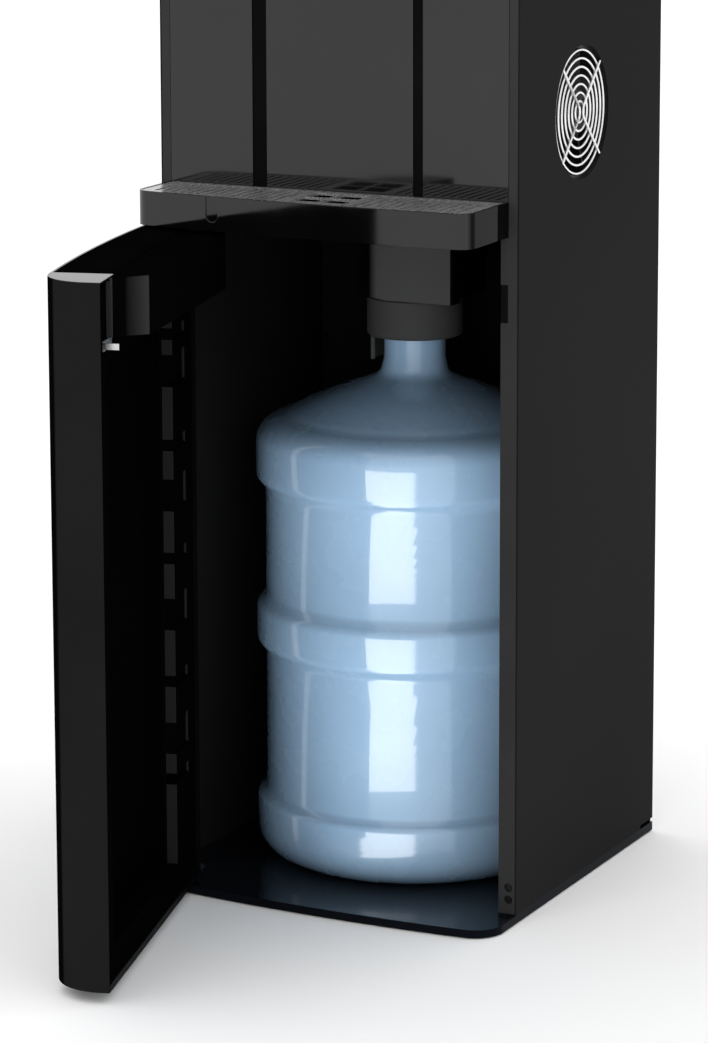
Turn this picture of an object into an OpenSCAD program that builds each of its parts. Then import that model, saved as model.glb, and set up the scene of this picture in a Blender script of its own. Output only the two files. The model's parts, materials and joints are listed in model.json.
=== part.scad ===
// Bottom load water cooler, door open, with its bottle in the bay.
// The origin is the middle of the footprint on the floor, X to the right,
// Y to the back and Z up, as seen from in front of the machine.

/* [Cabinet] */
// Width over the two side panels
cabinet_w = 321; // [316:1:330]
// Depth of the side panels, front edge to back edge
cabinet_d = 296; // [292:1:310]
// Height of the whole machine
cabinet_h = 1040; // [1036:1:1060]
// Thickness of the steel sheet
sheet_t = 1; // [0.8:0.1:1.2]
// Width of a front pillar
pillar_w = 15.7; // [15.4:0.1:17]
// Depth of a front pillar
pillar_d = 22; // [20:1:24]

/* [Base] */
// Height that the rubber glides stand out below the base
glide_proud = 1; // [0.8:0.1:1.4]
// Radius of a rubber glide
glide_r = 12; // [10:0.5:13]
// Height of the base rim that carries the side panels
base_rim_h = 7.7; // [7.6:0.1:9]
// Thickness of the base up to its floor
base_floor_t = 5.5; // [5.2:0.1:5.8]
// Height of the front lip above the floor
lip_h = 1.1; // [0.8:0.1:1.2]
// Width of the front lip
lip_w = 2.4; // [2:0.1:3]

/* [Front curve] */
// Distance of the curved front's crest from the middle of the machine
front_reach = 199.5; // [196:0.5:203]
// Distance of the crest to the right of the middle
crest_x = 70; // [60:1:80]
// Radius of the curved door front
door_bow = 1700; // [1500:50:2500]
// Radius of the curved base front
base_bow = 1400; // [1400:50:2500]

/* [Door] */
// Angle at which the door stands open
door_open = 74.9; // [70:0.1:80]
// Height of the door's lower edge above the floor
door_z = 9.4; // [9.3:0.1:9.6]
// Height of the door
door_h = 554.2; // [550:0.1:554.3]
// Gap between the closed door and the cabinet
door_gap = 1; // [0.8:0.1:1.2]
// Wall of the door moulding
door_wall = 2.5; // [2:0.1:3]
// Gap at each side of the closed door
door_side_gap = 2.5; // [2:0.1:3]
// Radius of the door's corner at the handle side
door_corner_r = 40; // [36:0.5:41]
// Radius of the door's corner at the hinge side
door_hinge_r = 11; // [9:0.5:12]
// Distance of the hinge axis from the left side of the cabinet
hinge_in = 13.5; // [12.5:0.1:14.5]
// Distance of the hinge axis behind the door's curved front
hinge_deep = 9.65; // [9.5:0.05:11]
// Radius of a hinge pin
hinge_pin_r = 3; // [2.5:0.1:3.4]
// Depth of the recessed field in the door liner
field_d = 26; // [20:1:27]
// Height of the inner rail at the top of the door
rail_h = 46; // [40:1:50]
// Depth of the inner rail
rail_d = 30; // [26:0.5:32]

/* [Bottle] */
// Radius of the bottle's bands
band_r = 135; // [133:0.5:136]
// Radius of the bottle's body between the bands
bottle_r = 127; // [125:0.5:129]
// Radius of the bottle's neck
neck_r = 26.3; // [25:0.1:27]
// Wall of the bottle
bottle_wall = 1.6; // [1.2:0.1:2.2]

/* [Dock] */
// Radius of the cap over the bottle's neck
cap_r = 40.6; // [39:0.2:42]
// Height of the cap's lower edge
cap_z = 455; // [452:1:458]
// Height of the cap
cap_h = 34; // [32:0.5:34]
// Width of the dock's front cover
dock_cover_w = 86; // [84:1:88]

/* [Drip tray] */
// Height of the tray's rim above the floor
tray_top = 594.8; // [594:0.1:596]
// Height of the tray
tray_h = 28.2; // [27.8:0.1:28.4]
// Width of the tray and of the panel behind it
panel_w = 302.4; // [300:0.1:303]
// Distance that the tray stands out in front of the cabinet
tray_out = 77; // [70:1:80]
// Radius of the tray's front corners
tray_corner_r = 13; // [10:0.5:25]
// Wall of the tray
tray_wall = 2.5; // [2:0.1:3]
// Distance from one grille slot to the next
slot_pitch = 8; // [7:0.5:12]
// Width of a grille slot
slot_w = 3.4; // [2.5:0.1:4]

/* [Head] */
// Height of the head, underside to top
head_h = 190; // [180:1:200]
// Distance that the head stands out in front of the cabinet
head_out = 66; // [60:1:74]
// Wall of the head moulding
head_wall = 2.5; // [2:0.1:3]
// Height of the top cover
cover_h = 30; // [28:1:34]
// Distance between the buttons, and between the spouts
button_pitch = 68; // [64:1:72]
// Width of a button
button_w = 46; // [40:1:50]
// Length of a button, front to back
button_l = 36; // [32:1:38]
// Travel of a button
button_travel = 3; // [2.5:0.1:3.2]
// Length of a spout below the head
spout_l = 20; // [16:1:26]

/* [Fan] */
// Height of the fan's shaft above the floor
fan_z = 653.2; // [650:0.1:656]
// Distance of the fan's shaft in front of the middle
fan_y = -21.2; // [-24:0.1:-18]
// Radius of the outer wire of the guard
guard_r = 50.6; // [49:0.1:50.9]
// Radius of a guard wire
wire_r = 1.1; // [0.9:0.05:1.2]
// Radius of the hole in the side panel
fan_hole_r = 55; // [54.5:0.1:55.5]
// Outer size of the square fan frame
fan_size = 120; // [116:1:120]

/* [Cooling and heating] */
// Width of the cold tank
cold_tank_w = 104; // [96:1:106]
// Height of the cold tank
cold_tank_h = 140; // [130:1:150]
// Radius of the hot tank
hot_tank_r = 42; // [38:1:44]
// Height of the hot tank
hot_tank_h = 118; // [110:1:124]
// Radius of a water hose
hose_r = 4; // [3:0.5:4.5]

/* [Hidden] */
$fn = 64;

// Overrun of every cut
cut = 1;
// Gap between pieces that are seated against each other
seat = 0.3;
// Radial gap of a running fit
slip = 0.05;

half_w = cabinet_w / 2;
half_d = cabinet_d / 2;
front = -half_d;
inner_w = half_w - sheet_t - seat;
rim_z = glide_proud + base_rim_h;
floor_z = glide_proud + base_floor_t;
head_z = cabinet_h - head_h;
cover_z = cabinet_h - cover_h;
bay_w = half_w - pillar_w;
tray_z = tray_top - tray_h;
panel_half = panel_w / 2;
panel_t = 2.5;

// Box between two corners
module slab(x, y, z) translate([x[0], y[0], z[0]]) cube([x[1] - x[0], y[1] - y[0], z[1] - z[0]]);

// Points of an arc
function arc(c, r, a, n = 10) =
    [for (i = [0:n]) c + r * [cos(a[0] + (a[1] - a[0]) * i / n), sin(a[0] + (a[1] - a[0]) * i / n)]];

// Front curve at a place across the machine
function front_y(x, reach, bow) = -(reach - (x - crest_x) * (x - crest_x) / (2 * bow));

// Outline with a curved front and rounded front corners
function bowed(w, back, reach, bow, left_r, right_r, n = 16) =
    let (
        xr = w[1] - right_r,
        xl = w[0] + left_r,
        right_c = [xr, front_y(xr, reach, bow) + right_r],
        left_c = [xl, front_y(xl, reach, bow) + left_r]
    )
    concat(
        [[w[0], back], [w[1], back]],
        arc(right_c, right_r, [0, -90]),
        [for (i = [1:n - 1]) let (x = xr + (xl - xr) * i / n) [x, front_y(x, reach, bow)]],
        arc(left_c, left_r, [-90, -180])
    );

module rounded_rect(w, l, r) {
    x = w / 2 - r;
    y = l / 2 - r;
    polygon(concat(arc([x, y], r, [0, 90], 6), arc([-x, y], r, [90, 180], 6),
        arc([-x, -y], r, [180, 270], 6), arc([x, -y], r, [270, 360], 6)));
}

// Lying cylinders, drawn from a point towards +X or +Y
module rod_x(r, l) rotate([0, 90, 0]) cylinder(r = r, h = l);
module rod_y(r, l) rotate([-90, 0, 0]) cylinder(r = r, h = l);

// Tube along points, as rings joined by quads
function unit(v) = v / norm(v);
function ring(p, t, r, sides) =
    let (a = unit(cross(t, abs(t[2]) > 0.9 ? [1, 0, 0] : [0, 0, 1])), b = cross(t, a))
    [for (j = [0:sides - 1]) p + r * (cos(360 * j / sides) * a + sin(360 * j / sides) * b)];
function chaikin(p) = concat([p[0]],
    [for (i = [0:len(p) - 2], s = [0.25, 0.75]) p[i] + s * (p[i + 1] - p[i])], [p[len(p) - 1]]);
module tube(path, r, sides = 8) {
    n = len(path);
    pts = [for (i = [0:n - 1])
        each ring(path[i], unit(path[min(i + 1, n - 1)] - path[max(i - 1, 0)]), r, sides)];
    faces = concat(
        [[for (j = [0:sides - 1]) sides - 1 - j]],
        [for (i = [0:n - 2], j = [0:sides - 1]) let (k = (j + 1) % sides)
            [i * sides + j, i * sides + k, (i + 1) * sides + k, (i + 1) * sides + j]],
        [[for (j = [0:sides - 1]) (n - 1) * sides + j]]
    );
    polyhedron(points = pts, faces = faces, convexity = 6);
}

/* Base */
glide_sink = 2.5;
glide_x = 130;
glide_front = 168;
glide_back = 126;
rear_notch_l = 28;
rear_notch_h = 3.5;
base_corner_r = 25;
base_rim_w = 8;
base_reach = front_reach + seat;
base_skin = 3;
base_rib = 4;
centre_foot_r = 14;

module glide_places()
    for (x = [-glide_x, glide_x], y = [-glide_front, glide_back]) translate([x, y, 0]) children();

module base_body() difference() {
    union() {
        slab([-half_w, half_w], [front, half_d], [glide_proud, rim_z]);
        translate([0, 0, glide_proud]) linear_extrude(base_floor_t + lip_h)
            polygon(bowed([-half_w, half_w], front + cut, base_reach, base_bow, base_corner_r, base_corner_r));
    }
    // Floor inside the cabinet and on the apron
    slab([-bay_w, bay_w], [front - cut, half_d - base_rim_w], [floor_z, rim_z + cut]);
    translate([0, 0, floor_z]) linear_extrude(lip_h + cut)
        polygon(bowed([-half_w + lip_w, half_w - lip_w], front, base_reach - lip_w, base_bow,
            base_corner_r - lip_w, base_corner_r - lip_w));
    // Seat of the lower hinge plate
    slab([hinge_plate_x[0] - seat, hinge_plate_x[1] + seat], [front - cut, hinge_plate_back + seat],
        [floor_z, rim_z + cut]);
    // Pockets between the ribs below
    for (i = [-1, 0], j = [-1, 0])
        slab([i * bay_w + base_rib, (i + 1) * bay_w - base_rib],
            [j * (half_d - base_rim_w) + base_rib, (j + 1) * (half_d - base_rim_w) - base_rib],
            [glide_proud - cut, floor_z - base_skin]);
    glide_places() cylinder(r = glide_r + seat, h = glide_proud + glide_sink);
    translate([hinge[0], hinge[1], floor_z]) cylinder(r = hinge_eye_r + seat, h = lip_h + cut);
}

// Base with the foot where its ribs cross, below the bottle
module base_tray() color([0.03, 0.03, 0.03]) union() {
    base_body();
    cylinder(r = centre_foot_r, h = floor_z - base_skin / 2);
}

module base_glides() color([0.08, 0.08, 0.08])
    difference() {
        glide_places() cylinder(r = glide_r, h = glide_proud + glide_sink);
        glide_places() translate([0, 0, -cut]) cylinder(r = glide_r / 3, h = cut + glide_proud);
    }

/* Side, back and top */
flange_w = 12;
side_top = cover_z;

module side_sheet() difference() {
    union() {
        slab([half_w - sheet_t, half_w], [front, half_d], [rim_z, side_top]);
        slab([half_w - flange_w, half_w], [half_d - sheet_t, half_d], [rim_z + rear_notch_h, side_top]);
    }
    slab([half_w - flange_w - cut, half_w + cut], [half_d - rear_notch_l, half_d + cut],
        [rim_z - cut, rim_z + rear_notch_h]);
    for (z = rear_screw_z) translate([half_w - flange_w / 2, half_d - flange_w / 2, z])
        rod_y(screw_r + slip, flange_w);
}

module left_side_panel() color([0.02, 0.02, 0.02]) mirror([1, 0, 0]) side_sheet();

module right_side_panel() color([0.02, 0.02, 0.02]) difference() {
    side_sheet();
    translate([half_w - sheet_t - cut, fan_y, fan_z]) rod_x(fan_hole_r, sheet_t + 2 * cut);
}

rear_y = half_d - sheet_t - seat;
louvre_w = 44;
louvre_h = 4;
louvre_pitch = 11;
louvre_rows = 12;
louvre_z = 760;
louvre_x = 56;
inlet_x = -96;
inlet_z = 616;
inlet_w = 28;
inlet_h = 20;
switch_x = -96;
switch_z = 664;
switch_gap = 34;
rocker_w = 13;
rocker_h = 20;
housing_wall = 2.5;
housing_w = rocker_w + 2 * housing_wall;
housing_h = rocker_h + 2 * housing_wall;
drain_x = 70;
drain_z = 610;
drain_r = 7;
screw_r = 1.6;
screw_head_r = 3.4;
screw_head_h = 2;

module rear_panel() color([0.03, 0.03, 0.03]) difference() {
    slab([-inner_w, inner_w], [rear_y - sheet_t, rear_y], [rim_z, side_top - seat]);
    // Louvres over the electrics
    for (s = [-1, 1], i = [0:louvre_rows - 1])
        slab([s * louvre_x - louvre_w / 2, s * louvre_x + louvre_w / 2], [rear_y - sheet_t - cut, rear_y + cut],
            [louvre_z + i * louvre_pitch, louvre_z + i * louvre_pitch + louvre_h]);
    slab([inlet_x - inlet_w / 2 - seat, inlet_x + inlet_w / 2 + seat], [rear_y - sheet_t - cut, rear_y + cut],
        [inlet_z - inlet_h / 2 - seat, inlet_z + inlet_h / 2 + seat]);
    for (i = [-1, 1]) translate([switch_x + i * switch_gap / 2, 0, switch_z])
        slab([-housing_w / 2 - seat, housing_w / 2 + seat], [rear_y - sheet_t - cut, rear_y + cut],
            [-housing_h / 2 - seat, housing_h / 2 + seat]);
    translate([drain_x, rear_y - sheet_t - cut, drain_z]) rod_y(drain_r + seat, sheet_t + 2 * cut);
    for (s = [-1, 1], z = rear_screw_z) translate([s * (half_w - flange_w / 2), rear_y - sheet_t - cut, z])
        rod_y(screw_r + slip, sheet_t + 2 * cut);
}

pillar_screw_z = [20.5, 30.7];
pillar_screw_x = bay_w + pillar_w / 2 + 0.8;
pillar_screw_l = 12;
pillar_screw_sink = 2;

module pillar() difference() {
    slab([bay_w, inner_w], [front, front + pillar_d], [rim_z, side_top - seat]);
    // Rebate for the panel's edge
    slab([bay_w - cut, panel_half + seat], [front - cut, front + panel_t + seat],
        [tray_z - seat, head_z + seat]);
    for (z = pillar_screw_z) translate([pillar_screw_x, front - cut, z]) {
        rod_y(screw_head_r + seat, cut + pillar_screw_sink + screw_head_h);
        rod_y(screw_r + slip, cut + pillar_screw_sink + pillar_screw_l);
    }
}

module right_pillar() color([0.03, 0.03, 0.03]) difference() {
    pillar();
    slab([bay_w - cut, bay_w + magnet_t + seat], [front - cut, front + magnet_d + seat],
        [magnet_z - seat, magnet_z + magnet_h + seat]);
}

module left_pillar() color([0.03, 0.03, 0.03]) difference() {
    mirror([1, 0, 0]) pillar();
    slab([hinge_plate_x[0] - seat, hinge_plate_x[1] + seat], [front - cut, hinge_plate_back + seat],
        [upper_plate_z - seat, upper_plate_z + hinge_plate_t + seat]);
}

magnet_t = 6;
magnet_d = 8;
magnet_h = 30;
magnet_z = 498;
module door_magnet() color([0.35, 0.35, 0.36])
    slab([bay_w, bay_w + magnet_t], [front + seat, front + magnet_d], [magnet_z, magnet_z + magnet_h]);

beam_d = 22;
beam_h = 34;
beam_wall = 2.5;
beam_y = front + panel_t + seat;
module front_beam() color([0.05, 0.05, 0.05]) difference() {
    slab([-bay_w + seat, bay_w - seat], [beam_y, beam_y + beam_d], [tray_z, tray_z + beam_h]);
    slab([-bay_w + seat - cut, bay_w - seat + cut], [beam_y + beam_wall, beam_y + beam_d + cut],
        [tray_z + beam_wall, tray_z + beam_h - beam_wall]);
}

ceiling_t = 2.5;
ceiling_z = tray_z;
ceiling_hole_r = 19;
module bay_ceiling() color([0.04, 0.04, 0.04]) difference() {
    slab([-inner_w, inner_w], [beam_y + beam_d + seat, rear_y - sheet_t - seat],
        [ceiling_z, ceiling_z + ceiling_t]);
    translate([0, 0, ceiling_z - cut]) cylinder(r = ceiling_hole_r, h = ceiling_t + 2 * cut);
}

// Screws through the pillars, and through the back flanges into the rear panel
rear_screw_shares = [0.058, 0.231, 0.404, 0.538, 0.712, 0.923];
rear_screw_z = [for (q = rear_screw_shares) q * cabinet_h];
rear_screw_l = 9;
module case_screw(l) {
    rod_y(screw_r, l);
    difference() {
        rod_y(screw_head_r, screw_head_h);
        translate([0, -cut, 0]) for (a = [0, 90]) rotate([0, a, 0])
            slab([-screw_head_r * 0.7, screw_head_r * 0.7], [0, cut + screw_head_h / 2],
                [-screw_r / 3, screw_r / 3]);
    }
}
module case_screws() color([0.12, 0.12, 0.12]) {
    for (s = [0, 1], z = pillar_screw_z) mirror([s, 0, 0])
        translate([pillar_screw_x, front + pillar_screw_sink, z]) case_screw(pillar_screw_l);
    for (s = [0, 1], z = rear_screw_z) mirror([s, 0, 0])
        translate([half_w - flange_w / 2, half_d + screw_head_h, z]) mirror([0, 1, 0]) case_screw(rear_screw_l);
}

/* Dispensing front */
groove_d = 1.2;
groove_left = [-76, -63.2];
groove_right = [67.8, 76.4];

module dispensing_panel() color([0.02, 0.02, 0.02]) difference() {
    slab([-panel_half, panel_half], [front, front + panel_t], [bracket_top + seat, head_z]);
    for (g = [groove_left, groove_right])
        slab(g, [front - cut, front + groove_d], [tray_top - tray_h, head_z + cut]);
}

head_corner_r = 22;
head_reach = half_d + head_out;
spout_back = 36;
spout_y = front - spout_back;
spout_r = 8;
spout_flange_r = 12;
spout_flange_h = 2;
function spout_x(i) = (i - 1) * button_pitch;

module head_outline(inset) polygon(bowed([-panel_half + inset, panel_half - inset], front - seat,
    head_reach - inset, door_bow, head_corner_r - inset, head_corner_r - inset));

module head_shell() color([0.02, 0.02, 0.02]) difference() {
    translate([0, 0, head_z]) linear_extrude(cover_z - head_z) head_outline(0);
    difference() {
        translate([0, 0, head_z + head_wall]) linear_extrude(cover_z - head_z) head_outline(head_wall);
    }
    // Open towards the cabinet
    slab([-panel_half + head_wall, panel_half - head_wall], [front - head_wall * 2, front + cut],
        [head_z + head_wall, cover_z + cut]);
    for (i = [0:2]) translate([spout_x(i), spout_y, head_z - cut])
        cylinder(r = spout_r + seat, h = head_wall + 2 * cut);
}

deck_t = 3;
deck_z = cover_z;
deck_back = front + pillar_d;
button_y = front - 22;
guide_r = 6;
guide_l = 16;
stem_r = guide_r - slip;
stem_l = 22;
button_h = 6;
button_gap = 0.6;
button_corner_r = 6;
spring_r = 8.2;
spring_wire_r = 0.6;
spring_turns = 4;
button_rest = button_travel + 1.2;
well_d = 10;
well_wall = 2;
lock_x = -(panel_half + button_pitch + button_w / 2) / 2;
lock_y = front - 20;
lock_l = 14;
lock_w = 8;
lock_travel = 6;
lens_r = 2.5;
lens_y = button_y + button_l / 2 + 7;

module well_outline(grow) rounded_rect(button_w + 2 * (button_gap + grow),
    button_l + 2 * (button_gap + grow), button_corner_r + button_gap + grow);

// Deck with three wells, in each a guide sleeve for the button's stem
module control_deck() color([0.02, 0.02, 0.02]) difference() {
    union() {
        translate([0, 0, deck_z]) linear_extrude(deck_t)
            polygon(bowed([-panel_half, panel_half], deck_back - seat, head_reach, door_bow,
                head_corner_r, head_corner_r));
        for (i = [0:2]) translate([spout_x(i), button_y, 0]) {
            translate([0, 0, deck_z - well_d]) linear_extrude(well_d + deck_t / 2) well_outline(well_wall);
            translate([0, 0, deck_z - well_d - guide_l]) cylinder(r = guide_r + well_wall, h = guide_l + cut);
        }
    }
    for (i = [0:2]) translate([spout_x(i), button_y, 0]) {
        translate([0, 0, deck_z - well_d + well_wall]) linear_extrude(well_d + deck_t) well_outline(0);
        translate([0, 0, deck_z - well_d - guide_l - cut]) cylinder(r = guide_r, h = guide_l + well_d);
        translate([0, lens_y - button_y, deck_z - cut]) cylinder(r = lens_r + slip, h = deck_t + 2 * cut);
    }
    translate([lock_x, lock_y, 0]) slab([-lock_w / 2 - seat, lock_w / 2 + seat],
        [-lock_l / 2 - seat, lock_l / 2 + lock_travel + seat], [deck_z - cut, deck_z + deck_t + cut]);
}

// Crowned cap on a stem
module button(i) translate([spout_x(i), button_y, 0]) {
    top = deck_z + deck_t + button_travel;
    translate([0, 0, top - button_h]) linear_extrude(button_h - 1)
        rounded_rect(button_w, button_l, button_corner_r);
    translate([0, 0, top - 1]) linear_extrude(1) rounded_rect(button_w - 2, button_l - 2, button_corner_r - 1);
    translate([0, 0, top - button_h - stem_l]) cylinder(r = stem_r, h = stem_l + 1);
}
module hot_button() color([0.55, 0.08, 0.06]) button(0);
module room_button() color([0.5, 0.5, 0.5]) button(1);
module cold_button() color([0.05, 0.18, 0.5]) button(2);

// Coil spring between the well's floor and the button
spring_z0 = deck_z - well_d + well_wall;
spring_z1 = deck_z + deck_t + button_travel - button_h;
spring_steps = 10;
module button_spring(i) color([0.7, 0.7, 0.7]) translate([spout_x(i), button_y, 0]) {
    rise = spring_z1 - spring_z0 - 2 * spring_wire_r;
    n = spring_turns * spring_steps;
    tube([for (k = [0:n]) let (a = 360 * k / spring_steps, s = k / n)
        [spring_r * cos(a), spring_r * sin(a), spring_z0 + spring_wire_r + rise * s]],
        spring_wire_r * 0.95, 6);
}
module hot_spring() button_spring(0);
module room_spring() button_spring(1);
module cold_spring() button_spring(2);

module child_lock() color([0.5, 0.05, 0.05]) translate([lock_x, lock_y, 0]) {
    slab([-lock_w / 2, lock_w / 2], [-lock_l / 2, lock_l / 2],
        [deck_z - seat - deck_t / 2, deck_z + deck_t + lock_w / 4]);
    slab([-lock_w, lock_w], [-lock_l / 2, lock_l / 2], [deck_z - seat - deck_t / 2, deck_z - seat]);
}

module indicator_lenses() color([0.8, 0.8, 0.8])
    for (i = [0:2]) translate([spout_x(i), lens_y, deck_z + deck_t / 3])
        cylinder(r = lens_r, h = deck_t * 2 / 3 + seat);

cover_wall = 3;
cover_corner_r = 14;
module top_cover() color([0.02, 0.02, 0.02]) difference() {
    translate([0, 0, cover_z]) linear_extrude(cover_h - cover_wall)
        polygon(concat([[half_w, deck_back], [half_w, half_d - cover_corner_r]],
            arc([half_w - cover_corner_r, half_d - cover_corner_r], cover_corner_r, [0, 90], 8),
            arc([-half_w + cover_corner_r, half_d - cover_corner_r], cover_corner_r, [90, 180], 8),
            [[-half_w, deck_back]]));
    translate([0, 0, cover_z - cut]) linear_extrude(cover_h - 2 * cover_wall + cut)
        translate([0, (deck_back + half_d) / 2])
            rounded_rect(cabinet_w - 2 * cover_wall, half_d - deck_back - 2 * cover_wall,
                cover_corner_r - cover_wall);
}

barb_l = 14;
module spout(i) translate([spout_x(i), spout_y, 0]) difference() {
    union() {
        translate([0, 0, head_z + head_wall]) cylinder(r = spout_flange_r, h = spout_flange_h);
        translate([0, 0, head_z - spout_l]) cylinder(r1 = spout_r * 0.8, r2 = spout_r, h = spout_l);
        translate([0, 0, head_z - cut / 2]) cylinder(r = spout_r, h = head_wall + cut);
        translate([0, 0, head_z + head_wall]) cylinder(r = hose_r * 1.25, h = barb_l);
    }
    translate([0, 0, head_z - spout_l - cut])
        cylinder(r = hose_r * 0.75, h = spout_l + head_wall + barb_l + 2 * cut);
}
module hot_spout() color([0.6, 0.6, 0.6]) spout(0);
module room_spout() color([0.6, 0.6, 0.6]) spout(1);
module cold_spout() color([0.6, 0.6, 0.6]) spout(2);

/* Drip tray */
tray_reach = half_d + tray_out;
tray_floor_t = 2;
bracket_t = 3;
bracket_gap = 0.5;
bracket_z = tray_z + 3;
bracket_top = bracket_z + bracket_t;
bracket_w = 96;
bracket_l = 52;
basin_z = bracket_top + bracket_gap;
grille_t = 2;
grille_sink = 0.4;
ledge_w = 3;
tray_back = front - seat;

module tray_outline(inset, back = 0) polygon(bowed([-panel_half + inset, panel_half - inset],
    tray_back - back, tray_reach - inset, door_bow, tray_corner_r - inset, tray_corner_r - inset));

module tray_bracket() color([0.2, 0.2, 0.2]) {
    slab([-bracket_w, bracket_w], [beam_y - panel_t - seat - bracket_l, beam_y], [bracket_z, bracket_top]);
    for (s = [-1, 1]) slab([s * bracket_w * 0.8 - bracket_t, s * bracket_w * 0.8 + bracket_t],
        [front - bracket_l * 0.8, front - seat * 3], [tray_z, bracket_z]);
}

// Recessed strip with a rounded end in the tray's front
strip_x = -77;
strip_w = 10.8;
strip_l = 21;
strip_y = front_y(strip_x, tray_reach, door_bow);
module drip_tray() color([0.02, 0.02, 0.02]) difference() {
    union() {
        translate([0, 0, tray_z]) linear_extrude(tray_h) tray_outline(0);
    }
    // Basin
    translate([0, 0, basin_z + tray_floor_t]) linear_extrude(tray_h)
        tray_outline(tray_wall + ledge_w, tray_wall + ledge_w);
    // Seat of the grille
    translate([0, 0, tray_top - grille_t - grille_sink]) linear_extrude(tray_h)
        tray_outline(tray_wall, tray_wall);
    translate([strip_x, -tray_reach, tray_top + cut]) mirror([0, 0, 1]) {
        slab([-strip_w / 2, strip_w / 2], [-tray_out, strip_y + tray_reach + groove_d],
            [0, strip_l + cut - strip_w / 2]);
        translate([0, -tray_out, strip_l + cut - strip_w / 2])
            rod_y(strip_w / 2, strip_y + tray_reach + groove_d + tray_out);
    }
    // Hollow below the basin, open to the back over the bracket
    translate([0, 0, tray_z - cut]) linear_extrude(basin_z - tray_z + cut) tray_outline(tray_wall, -cut);
}

window_gap = 3;
window_w = 22;
window_l = 22;
window_back = 36;
window_y = front - window_back;
window_x = 12;
slot_rim = 9;
slot_keep = 32;
slot_count = floor((panel_half - slot_rim) / slot_pitch);
function slot_front(x) = front_y(x, tray_reach, door_bow) + slot_rim
    + max(0, abs(x) - (panel_half - tray_corner_r)) * 0.6;
module tray_grille() color([0.75, 0.75, 0.75]) difference() {
    translate([0, 0, tray_top - grille_t - grille_sink]) linear_extrude(grille_t)
        tray_outline(tray_wall + seat, tray_wall + seat);
    for (i = [-slot_count:slot_count]) let (x = i * slot_pitch)
        if (abs(x - window_x) > slot_keep)
            slab([x - slot_w / 2, x + slot_w / 2], [slot_front(x), tray_back - slot_rim],
                [tray_top - grille_t - grille_sink - cut, tray_top + cut]);
    for (i = [-1, 1], j = [-1, 1])
        translate([window_x + i * (window_w + window_gap) / 2, window_y + j * (window_l + window_gap) / 2, 0])
            slab([-window_w / 2, window_w / 2], [-window_l / 2, window_l / 2],
                [tray_top - grille_t - grille_sink - cut, tray_top + cut]);
}

/* Dock over the bottle */
dock_x = [-40, 46];
dock_y = [-29.7, 42];
dock_wall = 2.5;
dock_z = cap_z + cap_h + 0.5;
dock_cover_y = -47;
dock_cover_d = 17;
dock_cover_x = [-30, 56];
dock_chamfer = [24.7, 10.5];
dock_round = 3;

module dock_body() color([0.02, 0.02, 0.02]) difference() {
    slab(dock_x, dock_y, [dock_z, ceiling_z - seat]);
    slab([dock_x[0] + dock_wall, dock_x[1] - dock_wall], [dock_y[0] + dock_wall, dock_y[1] - dock_wall],
        [dock_z + dock_wall, ceiling_z]);
    translate([0, 0, dock_z - cut]) cylinder(r = tube_r + tube_clear, h = dock_wall + 2 * cut);
}
dock_slope = dock_chamfer[1] / dock_chamfer[0];
// Outline of the cover, moved in by a wall and open to the back
function cover_line(i, back) = let (
        x0 = dock_cover_x[0] + i,
        y0 = dock_cover_y + i,
        k = sqrt(1 + dock_slope * dock_slope),
        side_y = dock_cover_y + dock_chamfer[1] + i * (k - dock_slope),
        turn_x = dock_cover_x[0] + (dock_chamfer[1] + i * (k - 1)) / dock_slope
    )
    concat(
        [[dock_cover_x[1] - i, dock_cover_y + dock_cover_d + back], [x0, dock_cover_y + dock_cover_d + back],
         [x0, side_y], [turn_x, y0]],
        i > 0 ? [[dock_cover_x[1] - i, y0]]
            : arc([dock_cover_x[1] - dock_round, dock_cover_y + dock_round], dock_round, [-90, 0], 6));
module dock_cover() color([0.1, 0.1, 0.1]) translate([0, 0, dock_z]) difference() {
    linear_extrude(ceiling_z - seat - dock_z) polygon(cover_line(0, 0));
    translate([0, 0, dock_wall]) linear_extrude(ceiling_z - dock_z) polygon(cover_line(dock_wall, cut));
}

tube_r = 6;
tube_clear = 0.4;
tube_z = 22;
tube_top = 556;
tube_pitch = 9;
cap_wall = 3;
cap_edge = 2;
cap_sleeve_r = neck_r + 1;
cap_sleeve_t = 3;
cap_sleeve_h = 22;
tongue_r = [34, 37.3];
tongue_a = [158, 206];
tongue_h = 22;
module probe_cap() color([0.12, 0.12, 0.12]) union() {
    translate([0, 0, cap_z]) rotate_extrude($fn = 96) polygon([
        [cap_r - cap_wall, 0], [cap_r - cap_edge, 0], [cap_r, cap_edge], [cap_r, cap_h - cap_edge],
        [cap_r - cap_edge, cap_h], [tube_r + tube_clear, cap_h], [tube_r + tube_clear, cap_h - cap_wall],
        [cap_sleeve_r, cap_h - cap_wall], [cap_sleeve_r, cap_h - cap_sleeve_h],
        [cap_sleeve_r + cap_sleeve_t, cap_h - cap_sleeve_h], [cap_sleeve_r + cap_sleeve_t, cap_h - cap_wall],
        [cap_r - cap_wall, cap_h - cap_wall]]);
    translate([0, 0, cap_z - tongue_h]) rotate([0, 0, tongue_a[0]])
        rotate_extrude(angle = tongue_a[1] - tongue_a[0]) translate([tongue_r[0], 0])
            square([tongue_r[1] - tongue_r[0], tongue_h + cap_h - cap_wall / 2]);
}
module suction_tube() color([0.7, 0.7, 0.7]) difference() {
    translate([0, 0, tube_z]) cylinder(r = tube_r, h = tube_top - tube_z);
    translate([0, 0, tube_z - cut]) cylinder(r = tube_r - 1, h = tube_top - tube_z + 2 * cut);
    for (i = [0:3]) translate([0, 0, tube_z + (i + 1) * tube_pitch]) rotate([0, 0, i * 90])
        translate([-tube_r - cut, 0, 0]) rod_x(tube_r / 3, 2 * (tube_r + cut));
}

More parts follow.
